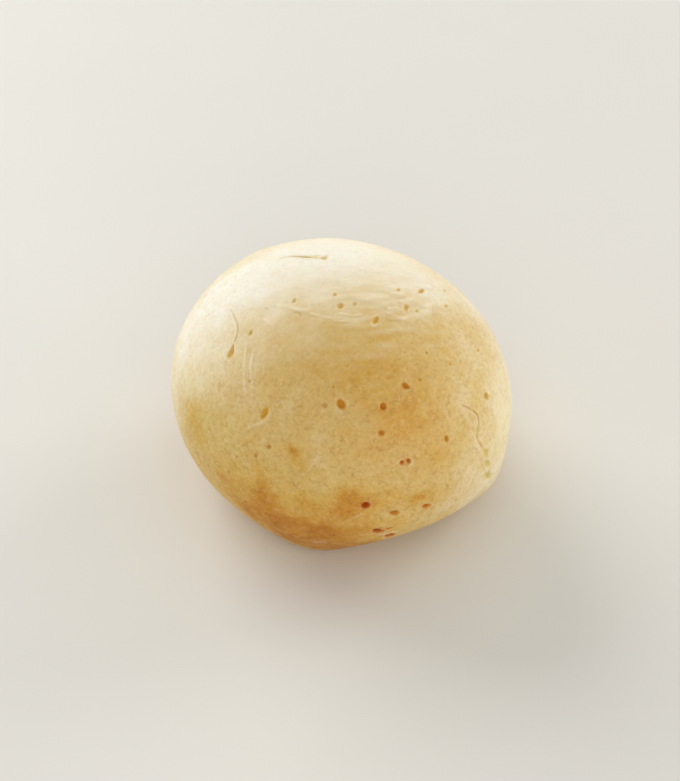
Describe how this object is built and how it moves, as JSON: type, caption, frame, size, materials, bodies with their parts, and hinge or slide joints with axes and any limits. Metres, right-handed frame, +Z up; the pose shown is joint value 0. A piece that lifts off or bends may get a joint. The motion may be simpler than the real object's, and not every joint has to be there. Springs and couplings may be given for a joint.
{
  "type": "pao de queijo",
  "caption": "Small round baked cheese roll, domed and slightly lopsided, with a flat base and a smooth pale golden crust of open pores and fine splits.",
  "frame": {"origin": "bottom centre of the bounding box, on the surface that the roll stands on", "axes": "+Z up; -Y is the side that faces the front, +X is to its right"},
  "size_m": [0.0626, 0.0624, 0.0465],
  "materials": {
    "crust": "satin baked tapioca dough crust, cream on top, toasted golden brown low at the front and under the base"
  },
  "bodies": {
    "root": {"roll": "crust"}
  },
  "joints": []
}
